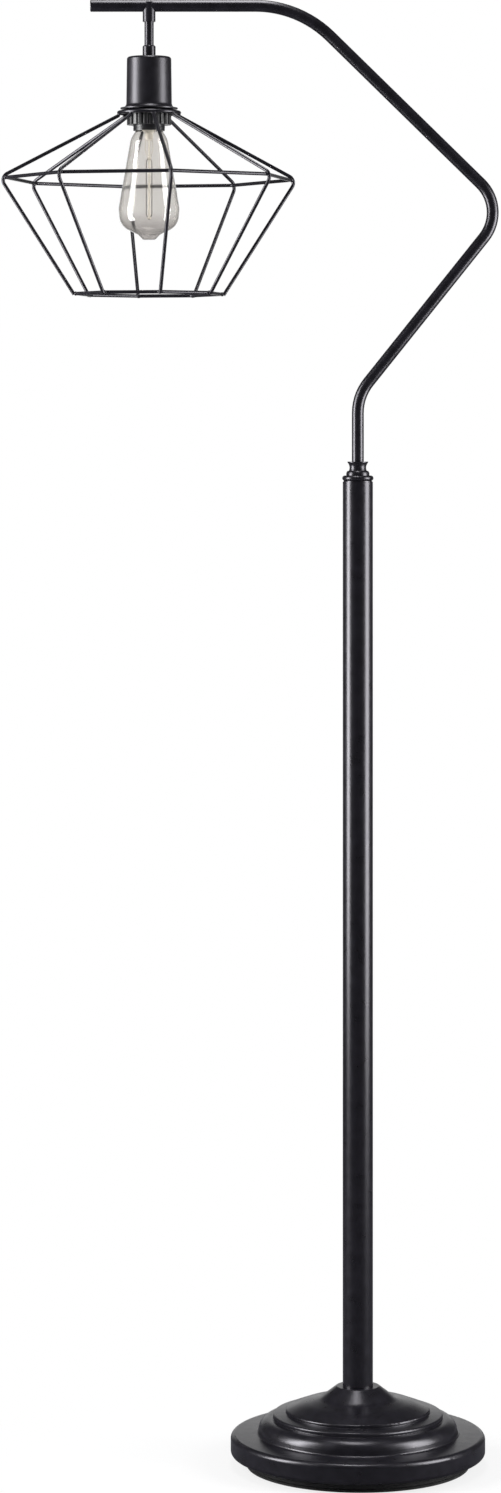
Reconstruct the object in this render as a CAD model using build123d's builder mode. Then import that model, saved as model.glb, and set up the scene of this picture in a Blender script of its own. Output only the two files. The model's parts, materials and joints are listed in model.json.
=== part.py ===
from build123d import *
import math
import os

# Wire cage floor lamp, in millimetres.
# +Z is up. The origin is the centre of the pad under the base, on the pole's axis, so Z is a height
# above the floor. The arm leans in the XZ plane: its crook is towards +X and its head hangs at -X.

# ---------------------------------------------------------------- fits shared by several pieces
thread_gap = 0.05  # radial gap of a joint that is screwed tight
easy_gap = 0.4  # radial gap round a piece that drops into place
seat_gap = 0.3  # gap between faces of pieces that part in use
weld_bite = 0.6  # how far a welded wire sinks into the next one

# ---------------------------------------------------------------- base
pad_radius = 118.0
pad_thickness = 2.5
pad_hole_radius = 30.0
weight_radius = 119.0
weight_flange = 9.0  # height of the foot flange that carries the cover
weight_body_height = 7.5  # height of the body above the flange
weight_edge_round = 1.5
boss_wall = 10.0  # iron round the nut pocket
boss_flare = 6.0  # how far the boss spreads at its foot
boss_margin = 2.0  # boss top, out past the pole
nut_pocket_radius = 20.0
nut_pocket_depth = 21.5
cover_radius = 134.8
cover_sheet = 1.5
cover_lip_width = 22.5  # rolled flange under the rim
cover_lip_round = 4.0
lip_clearance = 1.0  # between the lip and the weight's body
rim_height = 21.3
rim_corner = 5.0
band_width = 28.6  # flat band from the rim in to the ogee ring
band_rise = 1.2
ogee_width = 16.2
ogee_rise = 15.6
ogee_lean = 3.0  # how far the ogee's face leans in
ogee_fall = 0.8  # how far its top falls towards the face
ogee_round = 12.5
ogee_foot_round = 2.0
bead_height = 4.6
bead_round = 2.1
crease_round = 0.5  # at the foot of the bead and of the step
ledge_width = 13.5
ledge_rise = 1.6
step_rise = 3.2
step_round = 2.0
dome_width = 37.0
dome_rise = 11.6
dome_crown = 1.3  # how far the dome swells above a straight cone
dome_round = 60.0
dome_hollow = 14.0  # radius where the dome turns up to the hub
hub_radius = 22.8
hub_round = 2.0
base_height = 83.4  # top of the hub, where the pole stands

# ---------------------------------------------------------------- lamp pipe, nuts and inlet
pipe_radius = 5.0
pipe_bore_radius = 3.4
washer_radius = 16.0
washer_thickness = 2.0
nut_flats = 17.0
nut_height = 6.0
pipe_end = 3.0  # thread left standing past a nut
pipe_chamfer = 0.6
inlet_radius = 3.9  # groove under the base for the supply lead
inlet_height = 6.9  # its axis above the floor
bushing_bore_radius = 2.8
bushing_length = 14.0
bushing_flange_radius = 4.5
bushing_flange = 2.5
bushing_round = 0.6
lead_radius = 2.3
lead_bend = 7.0  # where it turns up into the pipe
lead_drop_bend = 4.0  # where it turns down into the stem

# ---------------------------------------------------------------- pole
pole_radius = 16.0
pole_wall = 1.2
pole_length = 958.2
insert_height = 16.0
cap_groove = 0.9
cap_groove_radius = 15.2
cap_radius = 16.6
cap_disc = 5.7
neck_height = 14.7
neck_foot_radius = 12.3
neck_foot = 1.8
neck_foot_swell = 0.4
neck_ledge_radius = 10.8
neck_ledge_height = 4.9
neck_ledge_width = 1.2
neck_waist_radius = 8.8
neck_waist_height = 8.2
neck_lip_radius = 11.0
neck_lip = 0.9
neck_mouth_chamfer = 1.6

# ---------------------------------------------------------------- arm
arm_radius = 6.35
arm_wall = 1.25
arm_riser = 84.7  # cap to the first corner
arm_lower_leg = 253.0
arm_lower_lean = 38.6  # degrees from upright
arm_lower_bend = 52.0
arm_upper_leg = 308.0
arm_upper_pitch = 44.4  # degrees above level
arm_crook_bend = 43.0
arm_top_run = 219.9
arm_top_bend = 113.0
stud_length = 48.0
stud_grip = 20.0  # thread below the arm's foot
end_plug_face = 1.6
end_plug_depth = 8.0
end_plug_round = 1.1

# ---------------------------------------------------------------- stem, cup and socket
head_setback = 60.8  # head axis, back from the arm's open end
saddle_radius = 6.75
saddle_drop = 17.0  # arm axis to the saddle's lower end
saddle_rise = 4.2  # arm axis to the saddle's upper end
stem_radius = 4.9
stem_bore_radius = 3.2
stem_exposed = 25.0
stem_in_saddle = 6.0
collar_radius = 6.9
collar_height = 12.0
collar_chamfer = 1.2
cup_top_radius = 23.5
cup_mouth_radius = 24.2
cup_height = 55.4
cup_wall = 1.2
cup_shoulder = 3.0
cup_flange_radius = 30.4
cup_flare = 5.0
lock_nut_flats = 16.0
lock_nut_height = 5.5
socket_radius = 19.0
socket_body_height = 28.5
socket_boss_radius = 8.0
socket_boss_height = 10.0
socket_round = 2.0
skirt_radius = 16.65
skirt_length = 23.1
socket_bore_radius = 14.3
socket_bore_depth = 28.0
screw_shell_wall = 0.6
screw_shell_height = 21.0
tab_radius = 4.0
tab_thickness = 1.2
terminal_radius = 3.0
terminal_stand = 1.6
terminal_height = 18.0  # above the skirt's shoulder
lead_anchor = 9.0  # length of lead held in the socket's boss

# ---------------------------------------------------------------- cage
rib_count = 8
wire_radius = 1.9
cage_turn = 9.8  # degrees that the front rib stands round from -Y
plate_radius = 30.2
plate_thickness = 1.5
plate_dish = 2.9
plate_flat_radius = 25.0
cage_shoulder_drop = 70.0  # crown ring to ridge
cage_ridge_radius = 158.9  # corner of the ribs' axes, before the bend rounds it
cage_ridge_bend = 8.0
cage_skirt_drop = 122.1  # ridge to bottom hoop
cage_mouth_radius = 80.7  # ribs' axes at the bottom hoop
hoop_bend = 6.0
rib_tail = 1.0  # rib end below the bottom hoop's axis
fluted_ring_radius = 23.5
fluted_ring_height = 15.0
flute_count = 24
flute_radius = 1.9
flute_depth = 1.3
ring_collar = 2.2  # plain band above the flutes

# ---------------------------------------------------------------- bulb
bulb_gap = 0.3  # between the bulb's contact and the socket's tab
cap_shell_radius = 13.1
cap_shell_height = 16.3
cap_shell_wall = 0.5
cap_insulator_height = 3.0
cap_insulator_radius = 6.0
bulb_contact_radius = 4.6
bulb_contact_height = 1.2
glass_wall = 0.7
glass_length = 121.7
glass_neck_radius = 13.2  # the glass outline, as corners and the rounds on them
glass_neck_length = 4.7
glass_neck_round = 8.8
glass_shoulder_radius = 19.4
glass_shoulder_drop = 14.1  # below the cap
glass_shoulder_round = 22.0
glass_belly_radius = 32.4
glass_belly_drop = 88.3
glass_belly_round = 17.3
glass_haunch_radius = 30.6
glass_haunch_height = 14.4  # above the tip
glass_haunch_round = 17.6
nipple_foot_radius = 11.7
nipple_foot_height = 5.5
nipple_foot_round = 1.4
nipple_radius = 6.4
nipple_round = 3.9
stem_press_radius = 4.4
stem_flare_drop = 9.0
stem_press_drop = 15.5
stem_rod_radius = 1.3
bead_drop = 35.0
bead_radius = 2.3
stem_rod_drop = 98.0
filament_wire_radius = 0.3
filament_spread = 4.2
filament_strands = 4
filament_drop = 4.0  # bead to the straight part of a strand
filament_rise = 3.0  # rod's end to the straight part
filament_bend = 1.5
support_wire_radius = 0.4
support_bow = 4.2
support_bend = 2.0
support_inset = 1.2  # inside the press's edge
support_grip = 1.0  # depth in the press
bead_grip = 0.6  # how deep a wire sinks into a bead
mount_seal = 1.0  # sealed rim of the mount's flare
press_taper = 1.5

# ---------------------------------------------------------------- heights and places worked out
flange_top = pad_thickness + weight_flange
weight_top = flange_top + weight_body_height
weight_body_radius = cover_radius - cover_lip_width - lip_clearance
band_height = flange_top + rim_height
hub_underside = base_height - cover_sheet
pocket_top = pad_thickness + nut_pocket_depth
boss_radius = nut_pocket_radius + boss_wall
nut_underside = pocket_top - washer_thickness - nut_height
pipe_bottom = nut_underside - pipe_end
pole_top = base_height + pole_length
cap_top = pole_top + cap_groove + cap_disc
neck_top = cap_top + neck_height

lean = math.radians(arm_lower_lean)
pitch = math.radians(arm_upper_pitch)
corner_low = (0, cap_top + arm_riser)
corner_crook = (
    corner_low[0] + arm_lower_leg * math.sin(lean),
    corner_low[1] + arm_lower_leg * math.cos(lean),
)
corner_high = (
    corner_crook[0] - arm_upper_leg * math.cos(pitch),
    corner_crook[1] + arm_upper_leg * math.sin(pitch),
)
arm_level = corner_high[1]
arm_end = corner_high[0] - arm_top_run
arm_bends = [arm_lower_bend, arm_crook_bend, arm_top_bend]

head = arm_end + head_setback
head_axis = Axis((head, 0, 0), (0, 0, 1))
saddle_bottom = arm_level - saddle_drop
collar_top = saddle_bottom - stem_exposed
cup_top = collar_top - collar_height
cup_bottom = cup_top - cup_height
shoulder = cup_bottom  # the socket's shoulder is flush with the cup's flange
skirt_bottom = shoulder - skirt_length
socket_top = shoulder + socket_body_height
boss_top = socket_top + socket_boss_height
bore_top = skirt_bottom + socket_bore_depth
stem_bottom = socket_top + thread_gap

plate_top = shoulder - seat_gap
rim_level = plate_top - plate_dish - plate_thickness / 2
ridge_level = rim_level - cage_shoulder_drop
mouth_level = ridge_level - cage_skirt_drop
ring_top = plate_top - plate_thickness - seat_gap / 2
ring_bottom = ring_top - fluted_ring_height
thread_bore = skirt_radius + seat_gap

bulb_top = bore_top - tab_thickness - bulb_gap
cap_bottom = bulb_top - bulb_contact_height - cap_insulator_height - cap_shell_height
bulb_tip = cap_bottom - glass_length

os.makedirs("parts", exist_ok=True)


def hexagon(flats):
    """Corner radius of a hexagonal nut, from its size across flats."""
    return flats / 2 / math.cos(math.pi / 6)


def level(z, x=0.0):
    """Horizontal plane at height z, centred on the pole or on another upright axis."""
    return Plane.XY.offset(z).shift_origin((x, 0, z))


def upright(x=0.0):
    """Upright plane through an axis at x, drawn as (distance from the axis, height)."""
    return Plane.XZ.shift_origin((x, 0, 0))


def save(piece, name):
    """Name a finished piece and write it."""
    piece.part.label = name
    export_step(piece.part, f"parts/{name}.step")


# ================================================================ base
# Spun steel cover: one sheet that turns in under the rim, rises over the ogee, bead and dome, and
# ends in a flat seat for the pole. The line is its outer face; the sheet is laid on its inside.
band_foot = cover_radius - band_width
ogee_top = band_foot - ogee_width
ogee_level = band_height + band_rise + ogee_rise
ledge_level = ogee_level + bead_height
ledge_foot = ogee_top - ledge_width
dome_level = ledge_level + ledge_rise + step_rise
dome_top = ledge_foot - dome_width
cover_rounds = [
    cover_lip_round,
    rim_corner,
    ogee_foot_round,
    ogee_round,
    crease_round,
    bead_round,
    crease_round,
    step_round,
    dome_round,
    dome_hollow,
    hub_round,
]

with BuildPart() as base_cover:
    with BuildSketch(Plane.XZ):
        with BuildLine():
            FilletPolyline(
                (cover_radius - cover_lip_width, flange_top),
                (cover_radius, flange_top),
                (cover_radius, band_height),
                (band_foot, band_height + band_rise),
                (band_foot - ogee_lean, ogee_level - ogee_fall),
                (ogee_top, ogee_level),
                (ogee_top, ledge_level),
                (ledge_foot, ledge_level + ledge_rise),
                (ledge_foot, dome_level),
                (ledge_foot - dome_width / 2, dome_level + dome_rise / 2 + dome_crown),
                (dome_top, dome_level + dome_rise),
                (hub_radius, base_height),
                (pipe_radius + easy_gap, base_height),
                radius=cover_rounds,
            )
            offset(amount=cover_sheet, side=Side.LEFT)
        make_face()
    revolve(axis=Axis.Z)
save(base_cover, "base_cover")

# Cast weight: a foot flange that shows under the rim and carries the cover's lip, a low body, and
# a boss up to the hub. Its underside has the nut pocket and the groove for the supply lead.
with BuildPart() as base_weight:
    with BuildSketch(Plane.XZ):
        with BuildLine():
            Polyline(
                (0, pad_thickness),
                (weight_radius, pad_thickness),
                (weight_radius, flange_top),
                (weight_body_radius, flange_top),
                (weight_body_radius, weight_top),
                (boss_radius + boss_flare, weight_top),
                (boss_radius, pocket_top + boss_wall),
                (pole_radius + boss_margin, hub_underside),
                (0, hub_underside),
                close=True,
            )
        make_face()
    revolve(axis=Axis.Z)
    with Locations((0, 0, hub_underside)):
        Hole(pipe_radius + easy_gap)
    with BuildSketch(level(pad_thickness)):
        Circle(nut_pocket_radius)
    extrude(amount=nut_pocket_depth, mode=Mode.SUBTRACT)
    with BuildSketch(Plane.XZ.offset(-weight_radius)):
        with Locations((0, inlet_height)):
            Circle(inlet_radius)
            Rectangle(2 * inlet_radius, inlet_height, align=(Align.CENTER, Align.MAX))
    extrude(amount=weight_radius, mode=Mode.SUBTRACT)
    foot_edge = base_weight.edges().filter_by(GeomType.CIRCLE).group_by(Axis.Z)[0].sort_by(SortBy.RADIUS)[-1]
    chamfer(foot_edge, weight_edge_round)
save(base_weight, "base_weight")

with BuildPart() as base_pad:
    with BuildSketch():
        Circle(pad_radius)
        Circle(pad_hole_radius, mode=Mode.SUBTRACT)
    extrude(amount=pad_thickness)
save(base_pad, "base_pad")

# Inlet bushing: a flanged sleeve in the rear mouth of the groove.
with BuildPart() as inlet_bushing:
    with BuildSketch(Plane.XZ.offset(-weight_radius)):
        with Locations((0, inlet_height)):
            Circle(inlet_radius - thread_gap)
    extrude(amount=bushing_length)
    with BuildSketch(Plane.XZ.offset(-weight_radius)):
        with Locations((0, inlet_height)):
            Circle(bushing_flange_radius)
    extrude(amount=-bushing_flange)
    fillet(inlet_bushing.edges().group_by(Axis.Y)[-1], bushing_round)
    with BuildSketch(Plane.XZ.offset(-weight_radius - bushing_flange)):
        with Locations((0, inlet_height)):
            Circle(bushing_bore_radius)
    extrude(amount=bushing_length + bushing_flange, mode=Mode.SUBTRACT)
save(inlet_bushing, "inlet_bushing")

# Threaded lamp pipe that ties the weight and cover to the pole.
pipe_top = base_height + insert_height
with BuildPart() as base_pipe:
    with BuildSketch(level(pipe_bottom)):
        Circle(pipe_radius)
        Circle(pipe_bore_radius, mode=Mode.SUBTRACT)
    extrude(amount=pipe_top - pipe_bottom)
    chamfer(base_pipe.edges().group_by(Axis.Z)[0].sort_by(SortBy.RADIUS)[-1], pipe_chamfer)
save(base_pipe, "base_pipe")

with BuildPart() as base_washer:
    with BuildSketch(level(pocket_top - washer_thickness)):
        Circle(washer_radius)
        Circle(pipe_radius + easy_gap, mode=Mode.SUBTRACT)
    extrude(amount=washer_thickness)
save(base_washer, "base_washer")

with BuildPart() as base_nut:
    with BuildSketch(level(nut_underside)):
        RegularPolygon(hexagon(nut_flats), 6)
        Circle(pipe_radius + thread_gap, mode=Mode.SUBTRACT)
    extrude(amount=nut_height)
save(base_nut, "base_nut")

# ================================================================ pole
with BuildPart() as pole_tube:
    with BuildSketch(level(base_height)):
        Circle(pole_radius)
        Circle(pole_radius - pole_wall, mode=Mode.SUBTRACT)
    extrude(amount=pole_length)
save(pole_tube, "pole_tube")

# Threaded inserts welded flush in the pole's two ends.
for insert_name, insert_bottom in (
    ("pole_foot_insert", base_height),
    ("pole_head_insert", pole_top - insert_height),
):
    with BuildPart() as pole_insert:
        with BuildSketch(level(insert_bottom)):
            Circle(pole_radius - pole_wall)
            Circle(pipe_radius + thread_gap, mode=Mode.SUBTRACT)
        extrude(amount=insert_height)
    save(pole_insert, insert_name)

# Cap: a full-round bead above a shadow groove.
with BuildPart() as pole_cap:
    with BuildSketch(Plane.XZ):
        with BuildLine():
            bead_start = (cap_radius - cap_disc / 2, pole_top + cap_groove)
            bead_end = (cap_radius - cap_disc / 2, cap_top)
            Polyline(
                bead_end,
                (pipe_radius + thread_gap, cap_top),
                (pipe_radius + thread_gap, pole_top),
                (cap_groove_radius, pole_top),
                (cap_groove_radius, pole_top + cap_groove),
                bead_start,
            )
            ThreePointArc(bead_start, (cap_radius, cap_top - cap_disc / 2), bead_end)
        make_face()
    revolve(axis=Axis.Z)
save(pole_cap, "pole_cap")

# Neck: a turned spool with a stepped foot, a hollow waist and a thin flared lip.
with BuildPart() as neck_spool:
    with BuildSketch(Plane.XZ):
        with BuildLine():
            foot_top = (neck_foot_radius, cap_top + neck_foot)
            ledge = (neck_ledge_radius, cap_top + neck_ledge_height)
            ledge_in = (neck_ledge_radius - neck_ledge_width, ledge[1])
            swell = ((neck_foot_radius + neck_ledge_radius) / 2 + neck_foot_swell, (foot_top[1] + ledge[1]) / 2)
            lip_low = (neck_lip_radius, neck_top - neck_lip)
            Polyline(
                lip_low,
                (neck_lip_radius, neck_top),
                (arm_radius + thread_gap + neck_mouth_chamfer, neck_top),
                (arm_radius + thread_gap, neck_top - neck_mouth_chamfer),
                (arm_radius + thread_gap, cap_top),
                (neck_foot_radius, cap_top),
                foot_top,
            )
            ThreePointArc(foot_top, swell, ledge)
            Line(ledge, ledge_in)
            Spline(ledge_in, (neck_waist_radius, cap_top + neck_waist_height), lip_low)
        make_face()
    revolve(axis=Axis.Z)
save(neck_spool, "neck_spool")

# ================================================================ arm
# One bent tube: riser, lower leg, crook, upper leg and level run.
lead_hole_radius = stem_bore_radius
with BuildPart() as arm_tube:
    with BuildLine(Plane.XZ) as arm_route:
        FilletPolyline((0, cap_top), corner_low, corner_crook, corner_high, (arm_end, arm_level), radius=arm_bends)
    with BuildSketch(level(cap_top)):
        Circle(arm_radius)
        Circle(arm_radius - arm_wall, mode=Mode.SUBTRACT)
    sweep()
    with BuildSketch(level(arm_level, head)):
        Circle(lead_hole_radius)
    extrude(amount=-arm_radius, mode=Mode.SUBTRACT)
save(arm_tube, "arm_tube")

# Threaded stud welded into the arm's foot; it screws through the cap into the pole's head insert.
with BuildPart() as arm_stud:
    with BuildSketch(level(cap_top - stud_grip)):
        Circle(pipe_radius)
        Circle(pipe_bore_radius, mode=Mode.SUBTRACT)
    extrude(amount=stud_length)
save(arm_stud, "arm_stud")

with BuildPart() as arm_end_plug:
    with BuildSketch(Plane.YZ.offset(arm_end)):
        with Locations((0, arm_level)):
            Circle(arm_radius)
    extrude(amount=-end_plug_face)
    fillet(arm_end_plug.edges().group_by(Axis.X)[0], end_plug_round)
    with BuildSketch(Plane.YZ.offset(arm_end)):
        with Locations((0, arm_level)):
            Circle(arm_radius - arm_wall - thread_gap)
    extrude(amount=end_plug_depth)
save(arm_end_plug, "arm_end_plug")

# ================================================================ stem
# Saddle coupler: its top is cut to the arm's underside, where it is welded.
with BuildPart() as stem_saddle:
    with BuildSketch(level(saddle_bottom, head)):
        Circle(saddle_radius)
        Circle(lead_hole_radius, mode=Mode.SUBTRACT)
    extrude(amount=saddle_drop + saddle_rise)
    with BuildSketch(level(saddle_bottom, head)):
        Circle(stem_radius + thread_gap)
    extrude(amount=stem_in_saddle, mode=Mode.SUBTRACT)
    with BuildSketch(Plane.YZ.offset(head - 2 * saddle_radius)):
        with Locations((0, arm_level)):
            Circle(arm_radius)
    extrude(amount=4 * saddle_radius, mode=Mode.SUBTRACT)
save(stem_saddle, "stem_saddle")

with BuildPart() as stem_tube:
    with BuildSketch(level(stem_bottom, head)):
        Circle(stem_radius)
        Circle(stem_bore_radius, mode=Mode.SUBTRACT)
    extrude(amount=saddle_bottom + stem_in_saddle - stem_bottom)
save(stem_tube, "stem_tube")

with BuildPart() as stem_collar:
    with BuildSketch(level(cup_top, head)):
        Circle(collar_radius)
    extrude(amount=collar_height)
    chamfer(stem_collar.edges().group_by(Axis.Z)[-1], collar_chamfer)
    with BuildSketch(level(cup_top, head)):
        Circle(stem_radius + thread_gap)
    extrude(amount=collar_height, mode=Mode.SUBTRACT)
save(stem_collar, "stem_collar")

# Cup: a drawn sheet shell with a round shoulder, a slight taper and a flared flange at its mouth.
with BuildPart() as socket_cup:
    with BuildSketch(upright(head)):
        with BuildLine():
            FilletPolyline(
                (stem_radius + thread_gap, cup_top),
                (cup_top_radius, cup_top),
                (cup_mouth_radius, cup_bottom + cup_wall),
                (cup_flange_radius, cup_bottom + cup_wall),
                radius=[cup_shoulder, cup_flare],
            )
            offset(amount=cup_wall, side=Side.RIGHT)
        make_face()
    revolve(axis=head_axis)
save(socket_cup, "socket_cup")

with BuildPart() as cup_lock_nut:
    with BuildSketch(level(cup_top - cup_wall, head)):
        RegularPolygon(hexagon(lock_nut_flats), 6)
        Circle(stem_radius + thread_gap, mode=Mode.SUBTRACT)
    extrude(amount=-lock_nut_height)
save(cup_lock_nut, "cup_lock_nut")

# ================================================================ socket
# Moulded socket: boss for the stem, body inside the cup, and a threaded skirt below its mouth.
with BuildPart() as socket_body:
    with BuildSketch(level(skirt_bottom, head)):
        Circle(skirt_radius)
    extrude(amount=skirt_length)
    with BuildSketch(level(shoulder, head)):
        Circle(socket_radius)
    extrude(amount=socket_body_height)
    fillet(socket_body.edges().group_by(Axis.Z)[-1], socket_round)
    with BuildSketch(level(socket_top, head)):
        Circle(socket_boss_radius)
    extrude(amount=socket_boss_height)
    with BuildSketch(level(skirt_bottom, head)):
        Circle(socket_bore_radius)
    extrude(amount=socket_bore_depth, mode=Mode.SUBTRACT)
    with BuildSketch(level(boss_top, head)):
        Circle(stem_radius + thread_gap)
    extrude(amount=-socket_boss_height, mode=Mode.SUBTRACT)
    with BuildSketch(level(socket_top, head)):
        Circle(lead_radius + thread_gap)
    extrude(amount=-lead_anchor, mode=Mode.SUBTRACT)
save(socket_body, "socket_body")

with BuildPart() as socket_screw_shell:
    with BuildSketch(level(bore_top, head)):
        Circle(socket_bore_radius)
        Circle(socket_bore_radius - screw_shell_wall, mode=Mode.SUBTRACT)
    extrude(amount=-screw_shell_height)
save(socket_screw_shell, "socket_screw_shell")

with BuildPart() as socket_contact_tab:
    with BuildSketch(level(bore_top, head)):
        Circle(tab_radius)
    extrude(amount=-tab_thickness)
    fillet(socket_contact_tab.edges().group_by(Axis.Z)[0], tab_thickness / 2)
save(socket_contact_tab, "socket_contact_tab")

# A terminal screw on each side of the body, clear of the cup.
with BuildPart() as terminal_screws:
    for side in (1, -1):
        with BuildSketch(Plane.YZ.offset(head + side * (socket_radius - terminal_stand))):
            with Locations((0, shoulder + terminal_height)):
                Circle(terminal_radius)
        extrude(amount=side * 2 * terminal_stand)
    with BuildSketch(level(shoulder, head)):
        Circle(socket_radius)
    extrude(amount=socket_body_height, mode=Mode.SUBTRACT)
save(terminal_screws, "terminal_screws")

# Supply lead, held inside the lamp: from the bushing along the groove, up the pole, round the arm
# and down the stem into the socket's boss.
with BuildPart() as base_lead:
    with BuildLine(Plane.YZ) as base_route:
        FilletPolyline(
            (weight_radius - bushing_length, inlet_height),
            (0, inlet_height),
            (0, cap_top),
            radius=lead_bend,
        )
    with BuildSketch(Plane.XZ.offset(-weight_radius + bushing_length)):
        with Locations((0, inlet_height)):
            Circle(lead_radius)
    sweep()
save(base_lead, "base_lead")

with BuildPart() as arm_lead:
    with BuildLine(Plane.XZ) as lead_route:
        FilletPolyline(
            (0, cap_top),
            corner_low,
            corner_crook,
            corner_high,
            (head, arm_level),
            (head, socket_top - lead_anchor),
            radius=arm_bends + [lead_drop_bend],
        )
    with BuildSketch(level(cap_top)):
        Circle(lead_radius)
    sweep()
save(arm_lead, "arm_lead")

# ================================================================ cage
rib_turns = [k * 360 / rib_count + cage_turn - 90 for k in range(rib_count)]


def hoop(corner_radius, height):
    """Closed wire hoop whose rounded corners, one at each rib, reach out to corner_radius."""
    sharp_radius = corner_radius + hoop_bend * (1 / math.cos(math.pi / rib_count) - 1)
    corners = [
        (sharp_radius * math.cos(math.radians(turn)), sharp_radius * math.sin(math.radians(turn)))
        for turn in rib_turns
    ]
    with BuildPart() as wire:
        with BuildLine(level(height, head)) as route:
            FilletPolyline(*corners, radius=hoop_bend, close=True)
        with BuildSketch(Plane(origin=route.line @ 0, z_dir=route.line % 0)):
            Circle(wire_radius)
        sweep()
    return wire


# Dished plate that the threaded ring clamps under the socket's shoulder. Its dish slopes at 45
# degrees, so the lower face is set in to keep the sheet's thickness.
dish_set = plate_thickness * (math.sqrt(2) - 1)
with BuildPart() as cage_plate:
    with BuildSketch(upright(head)):
        with BuildLine():
            Polyline(
                (plate_flat_radius, plate_top),
                (skirt_radius + easy_gap, plate_top),
                (skirt_radius + easy_gap, plate_top - plate_thickness),
                (plate_flat_radius - dish_set, plate_top - plate_thickness),
                (plate_flat_radius - dish_set + plate_dish, plate_top - plate_dish - plate_thickness),
                (plate_radius, plate_top - plate_dish - plate_thickness),
                (plate_radius, plate_top - plate_dish),
                (plate_flat_radius + plate_dish, plate_top - plate_dish),
                close=True,
            )
        make_face()
    revolve(axis=head_axis)
save(cage_plate, "cage_plate")

crown_radius = plate_radius + wire_radius
with BuildPart() as cage_crown_ring:
    with BuildSketch(upright(head)):
        with Locations((crown_radius, rim_level)):
            Circle(wire_radius)
    revolve(axis=head_axis)
save(cage_crown_ring, "cage_crown_ring")

# Ribs: each is one wire, bent once at the ridge, from the crown ring to the bottom hoop.
wire_pitch = 2 * wire_radius - weld_bite
rib_top = (crown_radius, rim_level - wire_pitch)
rib_ridge = (cage_ridge_radius, ridge_level)
rib_slope = (cage_ridge_radius - cage_mouth_radius) / cage_skirt_drop
rib_foot = (cage_mouth_radius - rib_slope * rib_tail, mouth_level - rib_tail)
for number, turn in enumerate(rib_turns, 1):
    with BuildPart() as cage_rib:
        with BuildLine(upright(head).rotated((0, 0, turn))) as rib_route:
            FilletPolyline(rib_top, rib_ridge, rib_foot, radius=cage_ridge_bend)
        with BuildSketch(Plane(origin=rib_route.line @ 0, z_dir=rib_route.line % 0)):
            Circle(wire_radius)
        sweep()
    save(cage_rib, f"cage_rib_{number}")

# The hoops' corners touch the ribs from inside, and the weld sinks them in a little.
fall = math.atan2(rib_top[1] - ridge_level, cage_ridge_radius - rib_top[0])
half_bend = (math.pi / 2 - fall + math.atan(rib_slope)) / 2
bend_setback = cage_ridge_bend * (1 / math.cos(half_bend) - 1)
cage_ridge_hoop = hoop(cage_ridge_radius - bend_setback - wire_pitch, ridge_level)
save(cage_ridge_hoop, "cage_ridge_hoop")
cage_bottom_hoop = hoop(cage_mouth_radius - wire_pitch * math.hypot(1, rib_slope), mouth_level)
save(cage_bottom_hoop, "cage_bottom_hoop")

# Fluted ring: threaded on the socket's skirt, with grip flutes below a plain collar.
with BuildPart() as fluted_ring:
    with BuildSketch(level(ring_bottom, head)):
        Circle(fluted_ring_radius)
        Circle(thread_bore, mode=Mode.SUBTRACT)
    extrude(amount=fluted_ring_height)
    with BuildSketch(level(ring_bottom, head)):
        with PolarLocations(fluted_ring_radius + flute_radius - flute_depth, flute_count):
            Circle(flute_radius)
    extrude(amount=fluted_ring_height - ring_collar, mode=Mode.SUBTRACT)
save(fluted_ring, "fluted_ring")

# ================================================================ bulb
# Blown glass: a straight neck, a long cone, a round belly and a small nipple. The line is its
# outer face; the wall is laid on its inside.
with BuildPart() as bulb_glass:
    with BuildSketch(upright(head)):
        with BuildLine():
            FilletPolyline(
                (glass_neck_radius, cap_bottom),
                (glass_neck_radius, cap_bottom - glass_neck_length),
                (glass_shoulder_radius, cap_bottom - glass_shoulder_drop),
                (glass_belly_radius, cap_bottom - glass_belly_drop),
                (glass_haunch_radius, bulb_tip + glass_haunch_height),
                (nipple_foot_radius, bulb_tip + nipple_foot_height),
                (nipple_radius, bulb_tip),
                (0, bulb_tip),
                radius=[
                    glass_neck_round,
                    glass_shoulder_round,
                    glass_belly_round,
                    glass_haunch_round,
                    nipple_foot_round,
                    nipple_round,
                ],
            )
            offset(amount=glass_wall, side=Side.RIGHT)
        make_face()
    revolve(axis=head_axis)
save(bulb_glass, "bulb_glass")

# Screw cap: brass shell, black insulator and a round contact.
with BuildPart() as bulb_cap_shell:
    with BuildSketch(level(cap_bottom, head)):
        Circle(cap_shell_radius)
        Circle(cap_shell_radius - cap_shell_wall, mode=Mode.SUBTRACT)
    extrude(amount=cap_shell_height)
save(bulb_cap_shell, "bulb_cap_shell")

insulator_bottom = cap_bottom + cap_shell_height
with BuildPart() as bulb_cap_insulator:
    with BuildSketch(upright(head)):
        Polygon(
            (0, insulator_bottom),
            (cap_shell_radius, insulator_bottom),
            (cap_insulator_radius, insulator_bottom + cap_insulator_height),
            (0, insulator_bottom + cap_insulator_height),
            align=None,
        )
    revolve(axis=head_axis)
save(bulb_cap_insulator, "bulb_cap_insulator")

with BuildPart() as bulb_contact:
    with BuildSketch(level(bulb_top, head)):
        Circle(bulb_contact_radius)
    extrude(amount=-bulb_contact_height)
    fillet(bulb_contact.edges().group_by(Axis.Z)[-1], bulb_contact_height / 2)
save(bulb_contact, "bulb_contact")

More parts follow.
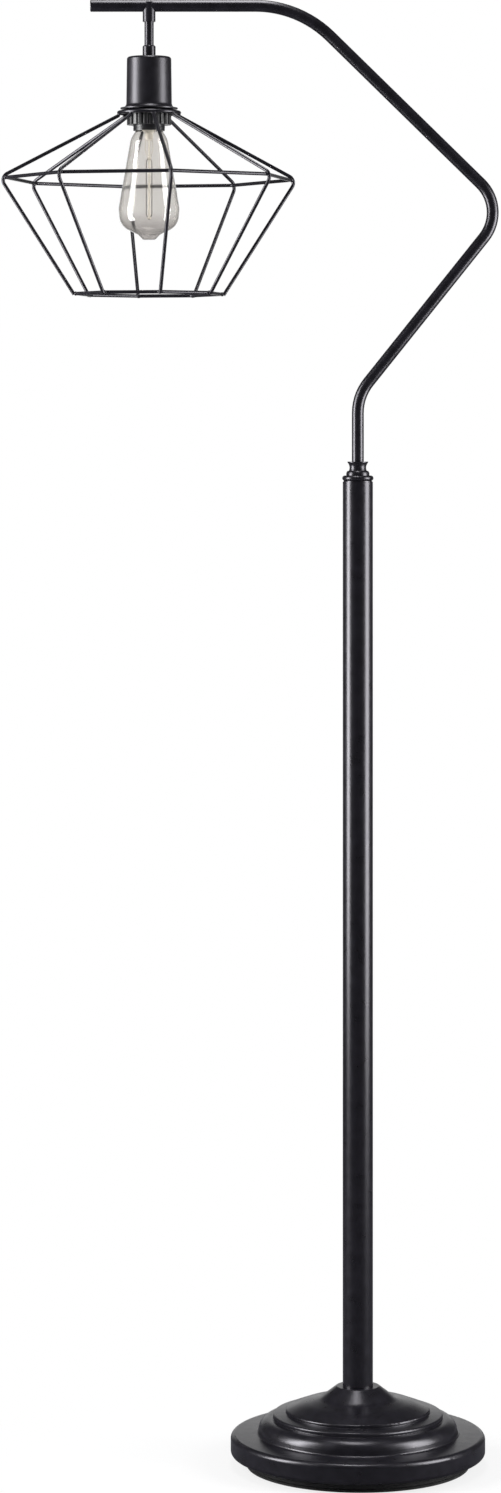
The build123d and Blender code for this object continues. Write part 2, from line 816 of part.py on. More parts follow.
# Glass mount: a flare sealed to the neck, the press, a bead and a thin rod down the middle.
bead_level = cap_bottom - bead_drop
rod_end = cap_bottom - stem_rod_drop
with BuildPart() as bulb_mount:
    with BuildSketch(upright(head)):
        with BuildLine():
            Polyline(
                (0, cap_bottom),
                (glass_neck_radius - glass_wall - thread_gap, cap_bottom),
                (glass_neck_radius - glass_wall - thread_gap, cap_bottom - mount_seal),
                (stem_press_radius, cap_bottom - stem_flare_drop),
                (stem_press_radius, cap_bottom - stem_press_drop),
                (stem_rod_radius, cap_bottom - stem_press_drop - press_taper),
                (stem_rod_radius, rod_end),
                (0, rod_end),
                close=True,
            )
        make_face()
    revolve(axis=head_axis)
    for bead_height_on_rod in (bead_level, rod_end):
        with Locations((head, 0, bead_height_on_rod)):
            Sphere(bead_radius)
save(bulb_mount, "bulb_mount")

# Two support wires bow out between the press and the bead.
with BuildPart() as support_wires:
    for side in (1, -1):
        with BuildLine(upright(head)) as bow:
            FilletPolyline(
                (side * (stem_press_radius - support_inset), cap_bottom - stem_press_drop + support_grip),
                (side * support_bow, (cap_bottom - stem_press_drop + bead_level) / 2),
                (side * (bead_radius - bead_grip), bead_level),
                radius=support_bend,
            )
        with BuildSketch(Plane(origin=bow.line @ 0, z_dir=bow.line % 0)):
            Circle(support_wire_radius)
        sweep()
save(support_wires, "support_wires")

# Filament: upright strands hooked to the bead and to the end of the rod.
with BuildPart() as strand:
    with BuildLine(upright(head)) as strand_route:
        FilletPolyline(
            (bead_radius - bead_grip, bead_level),
            (filament_spread, bead_level - filament_drop),
            (filament_spread, rod_end + filament_rise),
            (bead_radius - bead_grip, rod_end),
            radius=filament_bend,
        )
    with BuildSketch(Plane(origin=strand_route.line @ 0, z_dir=strand_route.line % 0)):
        Circle(filament_wire_radius)
    sweep()
with BuildPart() as bulb_filament:
    for quarter in range(filament_strands):
        add(strand.part.rotate(head_axis, quarter * 360 / filament_strands + 360 / filament_strands / 2))
save(bulb_filament, "bulb_filament")
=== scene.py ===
"""Wire cage floor lamp: finishes, small parts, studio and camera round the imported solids.

All lengths are in metres, in the frame of the solids: +Z is up, the origin is the centre of the
pad's underside, the arm's crook is towards +X and the lamp's head hangs at -X.
"""

import json
import logging
import math
from dataclasses import dataclass, field
from enum import Enum

import bpy
from mathutils import Matrix, Vector

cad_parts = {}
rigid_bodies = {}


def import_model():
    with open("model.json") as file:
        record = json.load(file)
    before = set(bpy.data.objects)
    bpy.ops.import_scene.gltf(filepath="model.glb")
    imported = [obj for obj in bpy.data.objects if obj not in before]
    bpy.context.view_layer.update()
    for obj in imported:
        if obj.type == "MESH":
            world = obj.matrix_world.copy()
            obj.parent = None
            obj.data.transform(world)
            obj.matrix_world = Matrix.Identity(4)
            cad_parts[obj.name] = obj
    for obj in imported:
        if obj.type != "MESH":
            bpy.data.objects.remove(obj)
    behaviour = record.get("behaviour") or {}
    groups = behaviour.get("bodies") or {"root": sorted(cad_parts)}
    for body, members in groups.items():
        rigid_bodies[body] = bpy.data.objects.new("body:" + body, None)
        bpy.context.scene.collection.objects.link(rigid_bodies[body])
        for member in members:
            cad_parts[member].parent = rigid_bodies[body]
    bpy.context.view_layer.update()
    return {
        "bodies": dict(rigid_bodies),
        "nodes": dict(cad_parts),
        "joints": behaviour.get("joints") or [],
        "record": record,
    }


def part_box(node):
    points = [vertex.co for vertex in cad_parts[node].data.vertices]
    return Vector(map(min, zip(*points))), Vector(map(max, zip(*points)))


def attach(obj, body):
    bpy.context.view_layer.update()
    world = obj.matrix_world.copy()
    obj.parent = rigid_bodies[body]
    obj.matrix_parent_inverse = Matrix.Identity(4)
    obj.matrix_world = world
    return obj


LOG = logging.getLogger("cage_lamp")
Colour = tuple[float, float, float]
Point = tuple[float, float, float]
Span = tuple[float, float]

WHITE: Colour = (1.0, 1.0, 1.0)
RAMP_SPAN: Span = (0.35, 0.65)  # part of a noise's values that a colour ramp covers
NOISE_SPAN: Span = (0.3, 0.7)  # nearly all of a noise's values lie in here
WAVE_TURN = 20.0  # radians that a wave texture turns per metre, at a scale of 1
SHARP_ANGLE = math.radians(60)  # edges that turn more than this stay sharp
MERGE_DISTANCE = 1e-6  # points closer than this are one


class Body(str, Enum):
    """Bodies of the lamp that new pieces ride on."""

    ROOT = "root"
    CAGE = "cage"
    BULB = "bulb"


class Slot(str, Enum):
    """Material slots of the record that new pieces take their finish from."""

    CAGE = "cage_black"
    SOCKET = "socket_black"
    BRASS = "brass"


class Fade(str, Enum):
    """How a number changes from one end of a span to the other."""

    EVEN = "LINEAR"
    SOFT = "SMOOTHSTEP"


class Sum(str, Enum):
    """Sums that the node trees do with two numbers."""

    GREATER = "MAXIMUM"
    PRODUCT = "MULTIPLY"


# ------------------------------------------------------------------ node helpers
def set_inputs(node: bpy.types.Node, **sockets: float | tuple) -> None:
    """Sets constants on a node's inputs; an underscore in a name stands for a space."""
    for name, value in sockets.items():
        node.inputs[name.replace("_", " ")].default_value = value


class Nodes:
    """A node tree that is built up by short calls."""

    def __init__(self, tree: bpy.types.NodeTree) -> None:
        """Empties the node tree of a material or of the world."""
        self.tree = tree
        self.tree.nodes.clear()

    def add(self, kind: str, **sockets: float | tuple) -> bpy.types.Node:
        """Adds a node and sets constants on its inputs.

        Args:
            kind: The node's type, without the word ShaderNode.
            **sockets: Values by input name, with an underscore for each space.

        Returns:
            The node.
        """
        node = self.tree.nodes.new("ShaderNode" + kind)
        set_inputs(node, **sockets)
        return node

    def link(self, source: bpy.types.Node, out: str | int,
             target: bpy.types.Node, into: str | int) -> None:
        """Joins a node's output to another node's input, each by name or by number."""
        self.tree.links.new(source.outputs[out], target.inputs[into])

    def remap(self, source: bpy.types.Node, out: str, span: Span, values: Span = (0.0, 1.0),
              fade: Fade = Fade.EVEN) -> bpy.types.Node:
        """Maps a span of a node's output onto a range of numbers, and clamps it there.

        Args:
            source: Node that gives the value.
            out: Its output.
            span: Start and end of the span.
            values: Numbers at its start and end.
            fade: How it changes between them.

        Returns:
            The Map Range node.
        """
        node = self.add("MapRange", From_Min=span[0], From_Max=span[1],
                        To_Min=values[0], To_Max=values[1])
        node.interpolation_type = fade.value
        self.link(source, out, node, "Value")
        return node

    def calculate(self, operation: Sum, first: tuple[bpy.types.Node, str],
                  second: tuple[bpy.types.Node, str]) -> bpy.types.Node:
        """Does a sum with the outputs of two nodes.

        Args:
            operation: The sum.
            first: Node and output of the first number.
            second: Node and output of the second number.

        Returns:
            The Math node.
        """
        node = self.add("Math")
        node.operation = operation.value
        self.link(*first, node, 0)
        self.link(*second, node, 1)
        return node

    def seen(self, rays: bpy.types.Node) -> bpy.types.Node:
        """Adds a number that is 1 for what the camera sees, also through glass, and else 0."""
        return self.calculate(Sum.GREATER, (rays, "Is Camera Ray"),
                              (rays, "Is Transmission Ray"))

    def blend(self, share: bpy.types.Node, out: str, first: bpy.types.Node,
              second: bpy.types.Node) -> bpy.types.Node:
        """Mixes two shaders.

        Args:
            share: Node that gives the second shader's share.
            out: Its output.
            first: Node of the first shader.
            second: Node of the second shader.

        Returns:
            The Mix Shader node.
        """
        node = self.add("MixShader")
        self.link(share, out, node, "Fac")
        self.link(first, 0, node, 1)
        self.link(second, 0, node, 2)
        return node


class Shader(Nodes):
    """A material with one Principled shader, with its textures on Object coordinates."""

    def __init__(self, name: str) -> None:
        """Starts a plain material.

        Args:
            name: The material's name.
        """
        self.material = bpy.data.materials.new(name)
        self.material.use_nodes = True
        super().__init__(self.material.node_tree)
        self.output = self.add("OutputMaterial")
        self.principled = self.add("BsdfPrincipled")
        self.link(self.principled, "BSDF", self.output, "Surface")
        self.place = self.add("TexCoord")

    def set(self, **sockets: float | tuple) -> None:
        """Sets constants on the Principled shader, as set_inputs does."""
        set_inputs(self.principled, **sockets)

    def noise(self, scale: float, detail: float = 2.0,
              roughness: float = 0.5) -> bpy.types.Node:
        """Adds a noise texture.

        Args:
            scale: Bumps per metre, roughly.
            detail: Octaves.
            roughness: Weight of the finer octaves.

        Returns:
            The noise node.
        """
        node = self.add("TexNoise", Scale=scale, Detail=detail, Roughness=roughness)
        self.link(self.place, "Object", node, "Vector")
        return node

    def ramp(self, source: bpy.types.Node, out: str, colours: tuple[Colour, Colour],
             span: Span = RAMP_SPAN) -> bpy.types.Node:
        """Adds a colour ramp between two colours.

        Args:
            source: Node whose output is spread over the ramp.
            out: That output.
            colours: Colours at the ramp's start and end.
            span: Where it starts and ends.

        Returns:
            The ramp node.
        """
        node = self.add("ValToRGB")
        for element, position, colour in zip(node.color_ramp.elements, span, colours):
            element.position = position
            element.color = (*colour, 1.0)
        self.link(source, out, node, "Fac")
        return node

    def paint(self, texture: bpy.types.Node, dark: Colour, light: Colour) -> None:
        """Colours the surface by a texture, dark where that is low and light where it is high."""
        ramp = self.ramp(texture, "Fac", (dark, light))
        self.link(ramp, "Color", self.principled, "Base Color")

    def roughen(self, texture: bpy.types.Node, roughness: Span) -> None:
        """Varies the surface's roughness by a texture, from its lows to its highs."""
        spread = self.remap(texture, "Fac", NOISE_SPAN, roughness)
        self.link(spread, "Result", self.principled, "Roughness")

    def bump(self, texture: bpy.types.Node, share: float, height: float) -> None:
        """Gives the surface a relief by a texture.

        Args:
            texture: The texture node.
            share: Share of the relief that shows.
            height: Its height in metres.
        """
        node = self.add("Bump", Strength=share, Distance=height)
        self.link(texture, "Fac", node, "Height")
        self.link(node, "Normal", self.principled, "Normal")


# ------------------------------------------------------------------ finishes
@dataclass(frozen=True)
class PowderCoat:
    """Black powder coat on steel: fine grain, a cool sheen and slight mottling."""

    name: str
    dark: Colour = (0.0036, 0.0033, 0.0048)
    light: Colour = (0.0062, 0.0057, 0.0084)
    sheen_tint: Colour = (0.95, 0.925, 1.0)
    specular: float = 0.5
    roughness: Span = (0.27, 0.32)
    mottle: float = 95.0  # patches per metre
    mottle_detail: float = 3.0
    mottle_grit: float = 0.6
    grain: float = 1100.0  # grains per metre
    grain_share: float = 0.35
    grain_height: float = 0.00001

    def make(self) -> bpy.types.Material:
        """Builds the material.

        Returns:
            The material.
        """
        shader = Shader(self.name)
        mottle = shader.noise(self.mottle, self.mottle_detail, self.mottle_grit)
        shader.paint(mottle, self.dark, self.light)
        shader.roughen(mottle, self.roughness)
        shader.bump(shader.noise(self.grain, detail=1.0), self.grain_share, self.grain_height)
        shader.set(Specular_IOR_Level=self.specular, Specular_Tint=(*self.sheen_tint, 1.0))
        return shader.material


@dataclass(frozen=True)
class Moulding:
    """Moulded plastic or rubber: even colour with a fine surface texture."""

    name: str
    dark: Colour
    light: Colour
    roughness: float
    roughness_change: float = 0.04
    cloud: float = 220.0  # patches per metre
    grain: float = 1500.0  # grains per metre
    grain_share: float = 0.4
    grain_height: float = 0.00003

    def make(self) -> bpy.types.Material:
        """Builds the material.

        Returns:
            The material.
        """
        shader = Shader(self.name)
        cloud = shader.noise(self.cloud)
        shader.paint(cloud, self.dark, self.light)
        shader.roughen(cloud, (self.roughness - self.roughness_change,
                               self.roughness + self.roughness_change))
        shader.bump(shader.noise(self.grain, detail=1.0), self.grain_share, self.grain_height)
        return shader.material


@dataclass(frozen=True)
class BareMetal:
    """Plated, tinned or bare metal with fine machining marks."""

    name: str
    dark: Colour
    light: Colour
    roughness: float
    roughness_change: float = 0.06
    cloud: float = 140.0  # patches per metre
    cloud_detail: float = 3.0
    marks: float = 900.0  # marks per metre
    marks_share: float = 0.25
    marks_height: float = 0.00002

    def make(self) -> bpy.types.Material:
        """Builds the material.

        Returns:
            The material.
        """
        shader = Shader(self.name)
        cloud = shader.noise(self.cloud, self.cloud_detail)
        shader.paint(cloud, self.dark, self.light)
        shader.roughen(cloud, (self.roughness - self.roughness_change,
                               self.roughness + self.roughness_change))
        shader.bump(shader.noise(self.marks, detail=1.0), self.marks_share, self.marks_height)
        shader.set(Metallic=1.0)
        return shader.material


@dataclass(frozen=True)
class CastIron:
    """Painted cast iron with a sand-cast skin."""

    name: str
    dark: Colour = (0.006, 0.006, 0.006)
    light: Colour = (0.016, 0.016, 0.016)
    roughness: float = 0.62
    skin: float = 420.0  # lumps per metre
    skin_detail: float = 4.0
    skin_grit: float = 0.65
    skin_share: float = 0.6
    skin_height: float = 0.0003

    def make(self) -> bpy.types.Material:
        """Builds the material.

        Returns:
            The material.
        """
        shader = Shader(self.name)
        skin = shader.noise(self.skin, self.skin_detail, self.skin_grit)
        shader.paint(skin, self.dark, self.light)
        shader.bump(skin, self.skin_share, self.skin_height)
        shader.set(Roughness=self.roughness)
        return shader.material


@dataclass(frozen=True)
class DrawnGlass:
    """Glass of the bulb's mount: a little milky, with the slight waviness of drawn glass."""

    name: str
    tint: Colour = (0.96, 0.915, 0.82)
    roughness: float = 0.15
    index: float = 1.4
    clarity: float = 0.25
    wave: float = 45.0  # waves per metre
    wave_share: float = 0.3
    wave_height: float = 0.00003

    def make(self) -> bpy.types.Material:
        """Builds the material.

        Returns:
            The material.
        """
        shader = Shader(self.name)
        shader.set(Base_Color=(*self.tint, 1.0), Roughness=self.roughness, IOR=self.index,
                   Transmission_Weight=self.clarity)
        shader.bump(shader.noise(self.wave, detail=1.0), self.wave_share, self.wave_height)
        return shader.material


@dataclass(frozen=True)
class BlownGlass:
    """Clear blown glass with a faint tint, darker near its tip, and with painted shade towards
    its edges.
    """

    name: str
    tip: float  # height of the glass's lowest point
    upper: Colour = (0.80, 0.785, 0.765)
    lower: Colour = (0.64, 0.62, 0.605)
    fade: Span = (0.0111, 0.0321)  # heights over the tip between which lower becomes upper
    # painted shade: the colour that the glass darkens to at its edges
    edge_shade: Colour = (0.62, 0.61, 0.59)
    edge_blend: float = 0.5
    edge_span: Span = (0.45, 0.85)  # how far the surface turns away while the painted shade of the edges sets in
    roughness: float = 0.06
    index: float = 1.4

    def make(self) -> bpy.types.Material:
        """Builds the material.

        Returns:
            The material.
        """
        shader = Shader(self.name)
        split = shader.add("SeparateXYZ")
        shader.link(shader.place, "Object", split, "Vector")
        low, high = self.fade
        height = shader.remap(split, "Z", (self.tip + low, self.tip + high), fade=Fade.SOFT)
        tint = shader.ramp(height, "Result", (self.lower, self.upper), (0.0, 1.0))
        # painted shade: the base colour darkens where the surface turns away, towards the glass's
        # edges
        facing = shader.add("LayerWeight", Blend=self.edge_blend)
        painted_edge_shade = shader.ramp(facing, "Facing", (WHITE, self.edge_shade), self.edge_span)
        mix = shader.add("MixRGB", Fac=1.0)
        mix.blend_type = "MULTIPLY"
        shader.link(tint, "Color", mix, "Color1")
        shader.link(painted_edge_shade, "Color", mix, "Color2")
        shader.link(mix, "Color", shader.principled, "Base Color")
        shader.set(Roughness=self.roughness, IOR=self.index, Transmission_Weight=1.0)
        return shader.material


@dataclass(frozen=True)
class CoiledFilament:
    """Carbon-coloured filament whose bump shows its fine coil, with painted shade in the coil's
    grooves.
    """

    name: str
    dark: Colour = (0.018, 0.013, 0.005)
    light: Colour = (0.055, 0.042, 0.018)
    roughness: float = 0.6
    coil_pitch: float = 0.0006
    coil_share: float = 0.5
    coil_height: float = 0.00008

    def make(self) -> bpy.types.Material:
        """Builds the material.

        Returns:
            The material.
        """
        shader = Shader(self.name)
        coil = shader.add("TexWave", Scale=math.tau / (WAVE_TURN * self.coil_pitch))
        coil.bands_direction = "Z"
        shader.link(shader.place, "Object", coil, "Vector")
        # painted shade: the coil's grooves take the dark colour and its turns the light one
        shader.paint(coil, self.dark, self.light)
        shader.bump(coil, self.coil_share, self.coil_height)
        shader.set(Roughness=self.roughness)
        return shader.material


# ------------------------------------------------------------------ modelling helpers
def start_clean() -> None:
    """Leaves edit mode and deselects everything."""
    if bpy.context.object and bpy.context.object.mode != "OBJECT":
        bpy.ops.object.mode_set(mode="OBJECT")
    bpy.ops.object.select_all(action="DESELECT")


def pick(piece: bpy.types.Object) -> None:
    """Makes a piece the active object and the only selected one.

    Args:
        piece: The object.
    """
    start_clean()
    bpy.context.view_layer.objects.active = piece
    piece.select_set(True)


def apply_modifiers(piece: bpy.types.Object) -> None:
    """Applies every modifier of a piece, in order.

    Args:
        piece: The mesh object.
    """
    pick(piece)
    for modifier in list(piece.modifiers):
        bpy.ops.object.modifier_apply(modifier=modifier.name)


def bake_place(piece: bpy.types.Object) -> None:
    """Moves a piece's place, turn and scale into its mesh."""
    pick(piece)
    bpy.ops.object.transform_apply(location=True, rotation=True, scale=True)


def face_outwards(piece: bpy.types.Object) -> None:
    """Merges a piece's doubled points and turns every face outwards.

    Args:
        piece: The mesh object.
    """
    pick(piece)
    bpy.ops.object.mode_set(mode="EDIT")
    bpy.ops.mesh.select_all(action="SELECT")
    bpy.ops.mesh.remove_doubles(threshold=MERGE_DISTANCE)
    bpy.ops.mesh.normals_make_consistent(inside=False)
    bpy.ops.object.mode_set(mode="OBJECT")


def smooth(piece: bpy.types.Object) -> None:
    """Shades a piece smooth but for its sharp edges."""
    pick(piece)
    bpy.ops.object.shade_smooth_by_angle(angle=SHARP_ANGLE)


def finish_piece(piece: bpy.types.Object, body: Body, slot: Slot,
                 finishes: dict[str, bpy.types.Material]) -> None:
    """Dresses a piece in the finish of its slot and puts it on its body.

    Args:
        piece: The finished mesh object.
        body: Body that it rides on.
        slot: Slot of the record that gives its finish.
        finishes: The lamp's finishes, by slot.
    """
    piece.data.materials.clear()
    piece.data.materials.append(finishes[slot.value])
    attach(piece, body.value)
    LOG.info("piece %s on %s", piece.name, body.value)


def join_copies(name: str, model: bpy.types.Object, places: list[Matrix]) -> bpy.types.Object:
    """Copies a model to each place, with its own mesh, and joins the copies into one piece.

    Args:
        name: Name of the joined piece.
        model: The object that is copied; it is used up.
        places: Matrices that carry the model from the origin to its places.

    Returns:
        The joined piece, with its place in its mesh.
    """
    copies = []
    for place in places:
        copy = model.copy()
        copy.data = model.data.copy()
        copy.data.transform(place)
        bpy.context.scene.collection.objects.link(copy)
        copies.append(copy)
    bpy.data.objects.remove(model)
    start_clean()
    for copy in copies:
        copy.select_set(True)
    bpy.context.view_layer.objects.active = copies[0]
    bpy.ops.object.join()
    copies[0].name = copies[0].data.name = name
    return copies[0]


# ------------------------------------------------------------------ small parts
@dataclass
class ScrewThread:
    """A helical ridge round an upright axis, with its ends run out."""

    name: str
    centre: Vector
    radius: float  # of the wall that carries the ridge
    bottom: float
    pitch: float
    turns: float
    width: float
    height: float
    steps_per_turn: int = 40
    profile_points: int = 10

    def build(self) -> bpy.types.Object:
        """Models the ridge: a small round-topped profile, swept by a Screw modifier.

        Returns:
            The finished ridge.
        """
        start_clean()
        bpy.ops.mesh.primitive_circle_add(
            vertices=self.profile_points, radius=self.width / 2, fill_type="NGON",
            location=(self.radius, 0, 0), rotation=(math.pi / 2, 0, 0))
        ridge = bpy.context.object
        ridge.name = ridge.data.name = self.name
        bake_place(ridge)
        squeeze = self.height / (self.width / 2)
        for vertex in ridge.data.vertices:
            vertex.co.x = self.radius + (vertex.co.x - self.radius) * squeeze
        screw = ridge.modifiers.new("thread", "SCREW")
        screw.axis = "Z"
        screw.angle = math.tau * self.turns
        screw.screw_offset = self.pitch * self.turns
        screw.steps = screw.render_steps = round(self.steps_per_turn * self.turns)
        apply_modifiers(ridge)
        ridge.data.transform(Matrix.Translation((self.centre.x, self.centre.y, self.bottom)))
        self.run_out(ridge)
        face_outwards(ridge)
        smooth(ridge)
        return ridge

    def run_out(self, ridge: bpy.types.Object) -> None:
        """Fades the ridge into its wall over the first and last quarter turn.

        Args:
            ridge: The swept ridge, in its place.
        """
        length = self.pitch * self.turns
        fade = self.pitch / 4
        foot = self.radius - self.height
        for vertex in ridge.data.vertices:
            out = Vector((vertex.co.x - self.centre.x, vertex.co.y - self.centre.y))
            along = vertex.co.z - self.bottom
            share = min(1.0, max(0.0, along / fade), max(0.0, (length - along) / fade))
            out *= (foot + (out.length - foot) * share) / out.length
            vertex.co.x = self.centre.x + out.x
            vertex.co.y = self.centre.y + out.y


@dataclass(frozen=True)
class WeldRow:
    """A level of the cage at which every rib has a weld bead."""

    name: str
    radius: float
    height: float


@dataclass
class CageWelds:
    """Weld beads where the cage's wires cross."""

    centre: Vector
    rows: list[WeldRow]
    finishes: dict[str, bpy.types.Material]
    rib_count: int = 8
    turn: float = math.radians(9.8)  # of the first rib, from the front
    bead_radius: float = 0.0020
    bead_stretch: Point = (0.95, 1.5, 1.15)  # outwards, across the rib and upright
    bead_segments: int = 12
    bead_rings: int = 8
    ripple_rate: float = 3900.0  # radians per metre across the rib
    ripple_height: float = 0.00012

    def model_bead(self) -> bpy.types.Object:
        """Models one rippled bead at the origin, long across the rib.

        Returns:
            The bead.
        """
        start_clean()
        bpy.ops.mesh.primitive_uv_sphere_add(
            segments=self.bead_segments, ring_count=self.bead_rings, radius=self.bead_radius)
        bead = bpy.context.object
        bpy.ops.object.mode_set(mode="EDIT")
        bpy.ops.mesh.select_all(action="SELECT")
        bpy.ops.transform.resize(value=self.bead_stretch)
        bpy.ops.object.mode_set(mode="OBJECT")
        for vertex in bead.data.vertices:
            ripple = math.sin(vertex.co.y * self.ripple_rate) * self.ripple_height
            vertex.co.z += ripple if vertex.co.z > 0 else -ripple
        return bead

    def build(self) -> None:
        """Makes one piece for each row, with a bead at each rib."""
        for row in self.rows:
            places = []
            for number in range(self.rib_count):
                angle = self.turn - math.pi / 2 + number * math.tau / self.rib_count
                places.append(Matrix.Translation((self.centre.x, self.centre.y, row.height))
                              @ Matrix.Rotation(angle, 4, "Z")
                              @ Matrix.Translation((row.radius, 0, 0)))
            welds = join_copies(row.name, self.model_bead(), places)
            smooth(welds)
            finish_piece(welds, Body.CAGE, Slot.CAGE, self.finishes)


# ------------------------------------------------------------------ the lamp
@dataclass
class Lamp:
    """The lamp: finishes for its solids, and the small parts that the solids leave out."""

    frame: dict
    finishes: dict[str, bpy.types.Material] = field(default_factory=dict)
    skirt_thread_lift: float = 0.0006  # from the socket's foot up to its thread
    cap_thread_lift: float = 0.0022  # from the foot of the bulb's cap up to its thread
    hoop_weld_inset: float = 0.0003  # from the hoops' outermost points in to their beads
    crown_weld_inset: float = 0.0019  # from the crown ring's outermost points in to its beads
    crown_weld_drop: float = 0.0017  # from the crown ring's middle down to its beads

    def make_finishes(self) -> None:
        """Builds one finish for each slot of the record."""
        coats = ("base_black", "pole_black", "arm_black", "cage_black")
        makers = [PowderCoat(name) for name in coats]
        makers += [
            PowderCoat("cup_black", roughness=(0.33, 0.37), specular=0.54),
            BareMetal("zinc_steel", (0.46, 0.46, 0.45), (0.62, 0.62, 0.60), 0.36),
            CastIron("cast_iron"),
            Moulding("pad_rubber", (0.010, 0.010, 0.010), (0.020, 0.020, 0.020), 0.85),
            Moulding("black_plastic", (0.008, 0.008, 0.009), (0.014, 0.014, 0.015), 0.5),
            Moulding("socket_black", (0.007, 0.007, 0.008), (0.011, 0.011, 0.012), 0.34),
            Moulding("ring_black", (0.007, 0.007, 0.008), (0.012, 0.012, 0.013), 0.36),
            Moulding("cap_insulator", (0.004, 0.004, 0.005), (0.008, 0.008, 0.010), 0.12),
            BareMetal("brass", (0.55, 0.40, 0.17), (0.72, 0.55, 0.27), 0.3),
            BareMetal("solder", (0.42, 0.42, 0.42), (0.58, 0.58, 0.57), 0.42),
            BlownGlass("clear_glass", tip=self.foot_of("bulb_glass")),
            DrawnGlass("mount_glass"),
            BareMetal("nickel_wire", (0.40, 0.38, 0.33), (0.56, 0.53, 0.47), 0.34),
            CoiledFilament("filament"),
            Moulding("lead_sheath", (0.010, 0.010, 0.010), (0.018, 0.018, 0.018), 0.55),
        ]
        self.finishes = {maker.name: maker.make() for maker in makers}

    def dress_solids(self) -> None:
        """Gives every solid the finish of its slot."""
        for row in self.frame["record"]["subparts"]:
            node = self.frame["nodes"][row["node"]]
            node.data.materials.clear()
            node.data.materials.append(self.finishes[row["material_slot"]])
            LOG.info("solid %s in %s", row["node"], row["material_slot"])

    def add_threads(self) -> None:
        """Adds the threads of the socket's skirt and of the bulb's cap."""
        axis = self.centre_of("fluted_ring")
        skirt = ScrewThread("socket_skirt_thread", axis, radius=0.01668,
                            bottom=self.foot_of("socket_body") + self.skirt_thread_lift,
                            pitch=0.003, turns=6.6, width=0.0017, height=0.0002)
        finish_piece(skirt.build(), Body.ROOT, Slot.SOCKET, self.finishes)
        cap = ScrewThread("bulb_cap_thread", axis, radius=0.01312,
                          bottom=self.foot_of("bulb_cap_shell") + self.cap_thread_lift,
                          pitch=0.00363, turns=3.4, width=0.0024, height=0.00042)
        finish_piece(cap.build(), Body.BULB, Slot.BRASS, self.finishes)

    def add_welds(self) -> None:
        """Adds the beads where the cage's wires are welded."""
        crown = self.centre_of("cage_crown_ring")
        ridge = self.centre_of("cage_ridge_hoop")
        mouth = self.centre_of("cage_bottom_hoop")
        crown_reach = self.reach_of("cage_crown_ring", crown)
        ridge_reach = self.reach_of("cage_ridge_hoop", ridge)
        mouth_reach = self.reach_of("cage_bottom_hoop", mouth)
        rows = [
            WeldRow("welds_crown", crown_reach - self.crown_weld_inset,
                    crown.z - self.crown_weld_drop),
            WeldRow("welds_ridge", ridge_reach - self.hoop_weld_inset, ridge.z),
            WeldRow("welds_mouth", mouth_reach - self.hoop_weld_inset, mouth.z),
        ]
        CageWelds(crown, rows, self.finishes).build()

    def centre_of(self, node: str) -> Vector:
        """Middle of the box of the solid of that name."""
        low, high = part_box(node)
        return (low + high) / 2

    def foot_of(self, node: str) -> float:
        """Height of the lowest point of the solid of that name."""
        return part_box(node)[0].z

    def reach_of(self, node: str, centre: Vector) -> float:
        """Furthest that the solid of that name reaches from the upright axis through a point."""
        vertices = self.frame["nodes"][node].data.vertices
        return max((vertex.co - centre).xy.length for vertex in vertices)


# ------------------------------------------------------------------ studio
@dataclass(frozen=True)
class Softbox:
    """A rectangular studio light."""

    name: str
    place: Point
    aim: Point
    width: float
    height: float
    power: float

    def make(self) -> None:
        """Adds the light, turned to its aim."""
        lamp = bpy.data.lights.new(self.name, "AREA")
        lamp.shape = "RECTANGLE"
        lamp.size = self.width
        lamp.size_y = self.height
        lamp.energy = self.power
        box = bpy.data.objects.new(self.name, lamp)
        box.location = self.place
        box.rotation_euler = (Vector(self.aim) - box.location).to_track_quat("-Z", "Y").to_euler()
        bpy.context.scene.collection.objects.link(box)
        LOG.info("light %s", self.name)


@dataclass(frozen=True)
class LevelCamera:
    """The photograph's camera: level, with its frame shifted down to the lamp."""

    place: Point = (-0.1138, -4.400, 1.107)
    focal_pixels: float = 4150.0  # focal length, in rows of the photograph
    frame_height: int = 1493  # rows of the photograph
    horizon_row: float = 420.0  # its row at the camera's own height
    sensor: float = 36.0  # mm
    far: float = 50.0

    def make(self) -> None:
        """Adds the camera and makes it the scene's own."""
        data = bpy.data.cameras.new("camera")
        data.sensor_fit = "VERTICAL"
        data.sensor_height = data.sensor_width = self.sensor
        data.lens = self.focal_pixels * self.sensor / self.frame_height
        data.shift_y = (self.horizon_row - self.frame_height / 2) / self.frame_height
        data.clip_end = self.far
        camera = bpy.data.objects.new("camera", data)
        camera.location = self.place
        camera.rotation_euler = (math.pi / 2, 0, 0)
        bpy.context.scene.collection.objects.link(camera)
        bpy.context.scene.camera = camera
        LOG.info("camera lens %.2f mm", data.lens)


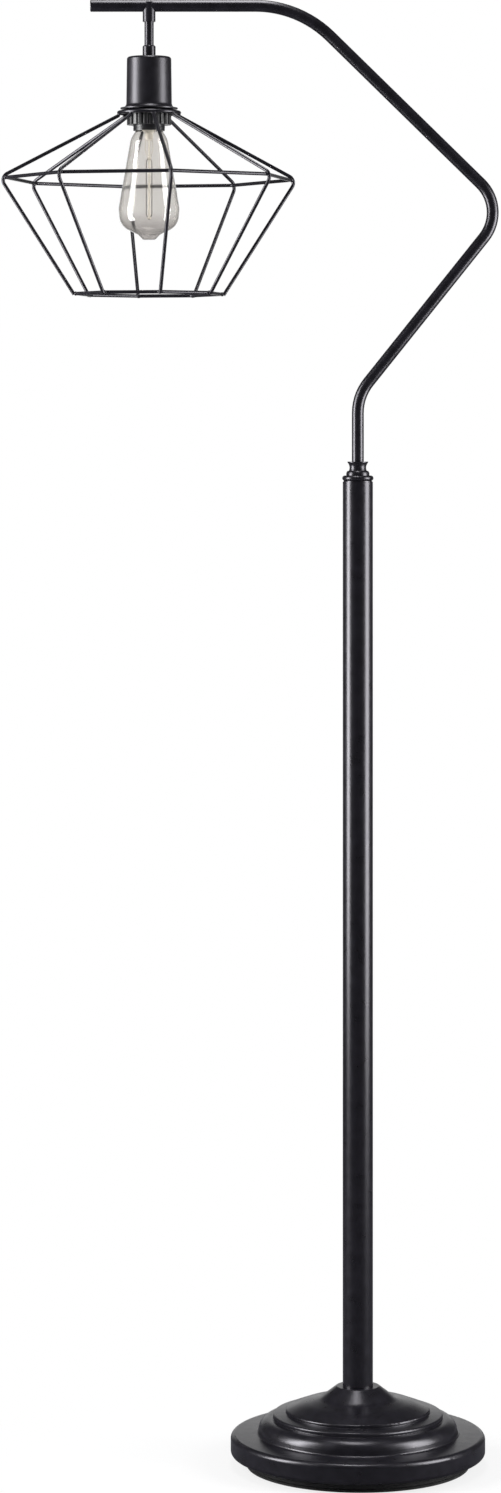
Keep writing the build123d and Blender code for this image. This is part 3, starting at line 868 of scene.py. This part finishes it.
@dataclass(frozen=True)
class Surroundings:
    """World: white where it is seen, grey fill light, and a dark room for reflections."""

    fill: Colour = (0.93, 0.94, 1.0)
    fill_strength: float = 0.25
    room: Span = (0.07, 1.0)  # brightness of the room and of its wall behind the lamp
    wall_span: Span = (0.90, 0.99)  # +Y part of a ray's direction over which the wall sets in

    def make(self) -> None:
        """Builds the world."""
        world = bpy.data.worlds.new("studio")
        bpy.context.scene.world = world
        world.use_nodes = True
        nodes = Nodes(world.node_tree)
        rays = nodes.add("LightPath")
        white = nodes.add("Background", Color=(*WHITE, 1.0), Strength=1.0)
        fill = nodes.add("Background", Color=(*self.fill, 1.0), Strength=self.fill_strength)
        lit = nodes.blend(rays, "Is Glossy Ray", fill, self.make_room(nodes))
        shown = nodes.blend(nodes.seen(rays), "Value", lit, white)
        nodes.link(shown, "Shader", nodes.add("OutputWorld"), "Surface")

    def make_room(self, nodes: Nodes) -> bpy.types.Node:
        """Adds what reflections show: a dark room with a bright wall behind the lamp.

        Args:
            nodes: The world's nodes.

        Returns:
            The room's Background node.
        """
        place = nodes.add("TexCoord")
        split = nodes.add("SeparateXYZ")
        nodes.link(place, "Generated", split, "Vector")
        wall = nodes.remap(split, "Y", self.wall_span, self.room, Fade.SOFT)
        room = nodes.add("Background", Strength=1.0)
        nodes.link(wall, "Result", room, "Color")
        return room


@dataclass(frozen=True)
class PaleFloor:
    """Round pale floor that keeps the shadow and melts into the white behind the lamp."""

    radius: float = 2.6
    sides: int = 96
    drop: float = 0.0002  # under the pad, so that the two share no plane
    grey: Colour = (0.62, 0.62, 0.62)
    roughness: float = 0.75
    specular: float = 0.2
    mirrored: Colour = (0.10, 0.10, 0.11)  # its colour in reflections
    melt_span: Span = (0.16, 0.42)  # distances from the pole between which it turns white
    melt: Span = (0.78, 1.0)  # share of white at the near and the far distance

    def make(self) -> None:
        start_clean()
        bpy.ops.mesh.primitive_circle_add(vertices=self.sides, radius=self.radius,
                                          fill_type="NGON", location=(0, 0, -self.drop))
        floor = bpy.context.object
        floor.name = "floor"
        bake_place(floor)
        floor.data.materials.append(self.make_material())

    def make_material(self) -> bpy.types.Material:
        """Builds the floor's material.

        Returns:
            The material.
        """
        shader = Shader("pale_floor")
        shader.set(Base_Color=(*self.grey, 1.0), Roughness=self.roughness,
                   Specular_IOR_Level=self.specular)
        rays = shader.add("LightPath")
        mirrored = shader.add("BsdfDiffuse", Color=(*self.mirrored, 1.0))
        lit = shader.blend(rays, "Is Glossy Ray", shader.principled, mirrored)
        distance = shader.add("VectorMath")
        distance.operation = "LENGTH"
        shader.link(shader.place, "Object", distance, 0)
        melt = shader.remap(distance, "Value", self.melt_span, self.melt, Fade.SOFT)
        share = shader.calculate(Sum.PRODUCT, (melt, "Result"), (shader.seen(rays), "Value"))
        white = shader.add("Emission", Color=(*WHITE, 1.0))
        shown = shader.blend(share, "Value", lit, white)
        shader.link(shown, "Shader", shader.output, "Surface")
        return shader.material


@dataclass(frozen=True)
class Studio:
    """Camera, lights, world and floor: a tall light at each side and one overhead."""

    lights: tuple[Softbox, ...] = (
        Softbox("side_left", (-1.60, -0.33, 0.90), (0, 0, 0.90), 0.65, 1.10, 44.0),
        Softbox("side_left_high", (-1.60, -0.33, 1.78), (0, 0, 1.60), 0.65, 0.64, 18.0),
        Softbox("side_right", (1.56, -0.42, 0.87), (0, 0, 0.87), 0.90, 1.24, 45.0),
        Softbox("side_right_high", (1.56, -0.42, 1.80), (0, 0, 1.60), 0.90, 0.60, 13.0),
        Softbox("overhead", (-0.12, -0.05, 3.1), (-0.12, -0.05, 1.2), 0.55, 1.5, 32.0),
    )

    def build(self) -> None:
        """Makes the whole studio."""
        LevelCamera().make()
        for light in self.lights:
            light.make()
        Surroundings().make()
        PaleFloor().make()
        bpy.context.scene.view_settings.view_transform = "Standard"


def main() -> None:
    """Builds the studio and the lamp's looks."""
    logging.basicConfig(level=logging.INFO, format="%(name)s: %(message)s")
    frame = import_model()
    Studio().build()
    lamp = Lamp(frame)
    lamp.make_finishes()
    lamp.dress_solids()
    lamp.add_threads()
    lamp.add_welds()


if __name__ == "__main__":
    main()
